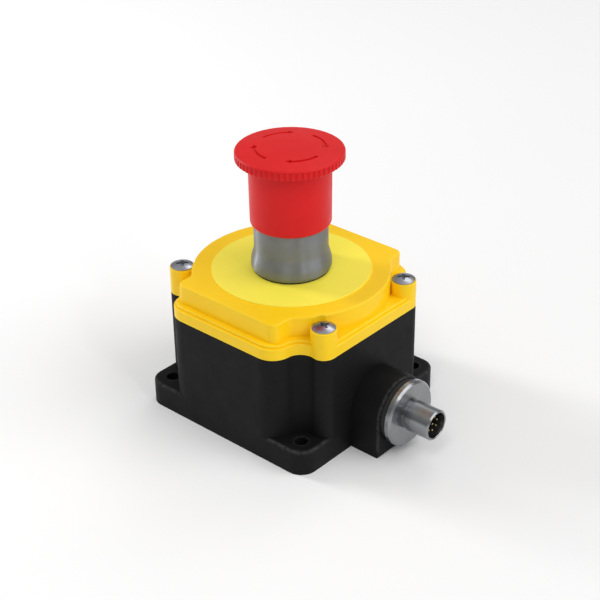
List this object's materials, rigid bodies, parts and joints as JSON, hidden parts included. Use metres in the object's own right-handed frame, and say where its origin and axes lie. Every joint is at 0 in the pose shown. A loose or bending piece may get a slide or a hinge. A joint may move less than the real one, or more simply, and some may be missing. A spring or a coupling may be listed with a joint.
{
  "type": "emergency stop button",
  "caption": "Square box emergency stop switch: black base with mounting ears, yellow lid, tall red turn-to-release mushroom button on a metal collar, round threaded side connector.",
  "frame": {"origin": "centre of the four mounting holes, in the plane of the mounting face", "axes": "+Z along the button axis, away from the mounting face; +X towards the connector"},
  "size_m": [0.1091, 0.08, 0.1057],
  "materials": {
    "base_black": "moulded, fine grain",
    "lid_yellow": "moulded, satin",
    "legend_yellow": "printed plate, satin",
    "head_red": "moulded, satin",
    "collar_metal": "satin grey metal",
    "screw_steel": "bright zinc",
    "connector_metal": "nickel plated",
    "nut_steel": "zinc plated",
    "insert_brass": "knurled",
    "pin_gold": "gold plated",
    "contact_silver": "silver plated",
    "rubber_black": "moulded rubber",
    "gasket_grey": "foamed rubber",
    "insert_black": "moulded",
    "pusher_white": "moulded",
    "spindle_steel": "turned",
    "spring_steel": "drawn wire",
    "carrier_grey": "moulded",
    "block_dark": "moulded",
    "rod_red": "moulded",
    "board_green": "solder mask",
    "chip_black": "moulded",
    "can_aluminium": "drawn can",
    "header_white": "moulded",
    "lead_blue": "insulated wire"
  },
  "bodies": {
    "housing": {"housing_base": "base_black", "lid": "lid_yellow", "lid_gasket": "gasket_grey", "lid_screws": "screw_steel", "lid_inserts": "insert_brass", "legend_plate": "legend_yellow", "bezel_gasket": "rubber_black", "bezel": "collar_metal", "mounting_nut": "nut_steel", "collar_seal": "rubber_black", "latch_clip": "spring_steel", "head_spring": "spring_steel", "contact_carrier": "carrier_grey", "contact_block_a": "block_dark", "contact_block_b": "block_dark", "contact_spring_a": "spring_steel", "contact_spring_b": "spring_steel", "fixed_contacts": "contact_silver", "terminal_screws": "screw_steel", "circuit_board": "board_green", "board_screws": "nut_steel", "board_chips": "chip_black", "board_capacitor": "can_aluminium", "board_header": "header_white", "connector_seal": "rubber_black", "connector_shell": "connector_metal", "connector_insert": "insert_black", "connector_pins": "pin_gold", "connector_nut": "nut_steel", "connector_leads": "lead_blue", "contact_leads": "lead_blue"},
    "plunger": {"pusher": "pusher_white"},
    "head": {"mushroom_head": "head_red", "spindle": "spindle_steel", "spindle_screw": "nut_steel"},
    "contact_rod_a": {"push_rod_a": "rod_red", "bridge_a": "contact_silver"},
    "contact_rod_b": {"push_rod_b": "rod_red", "bridge_b": "contact_silver"}
  },
  "joints": [
    {"name": "head_press", "type": "slide", "parent": "housing", "child": "plunger", "axis": [0, 0, -1], "range_m": [0, 0.005], "stiffness_N_per_m": 1500, "springref_m": -0.003, "deforming": ["head_spring"]},
    {"name": "head_twist", "type": "hinge", "parent": "plunger", "child": "head", "pos_m": [0, 0, 0.09], "axis": [0, 0, 1], "range_deg": [-45, 0], "stiffness_Nm_per_rad": 0.05, "springref_deg": 5.73},
    {"name": "contact_a_slide", "type": "slide", "parent": "housing", "child": "contact_rod_a", "axis": [0, 0, -1], "range_m": [0, 0.005], "stiffness_N_per_m": 200, "springref_m": -0.002, "deforming": ["contact_spring_a"]},
    {"name": "contact_b_slide", "type": "slide", "parent": "housing", "child": "contact_rod_b", "axis": [0, 0, -1], "range_m": [0, 0.005], "stiffness_N_per_m": 200, "springref_m": -0.002, "deforming": ["contact_spring_b"]}
  ],
  "couplings": [
    {"joint": "contact_a_slide", "follows": "head_press", "ratio": 1},
    {"joint": "contact_b_slide", "follows": "head_press", "ratio": 1}
  ]
}
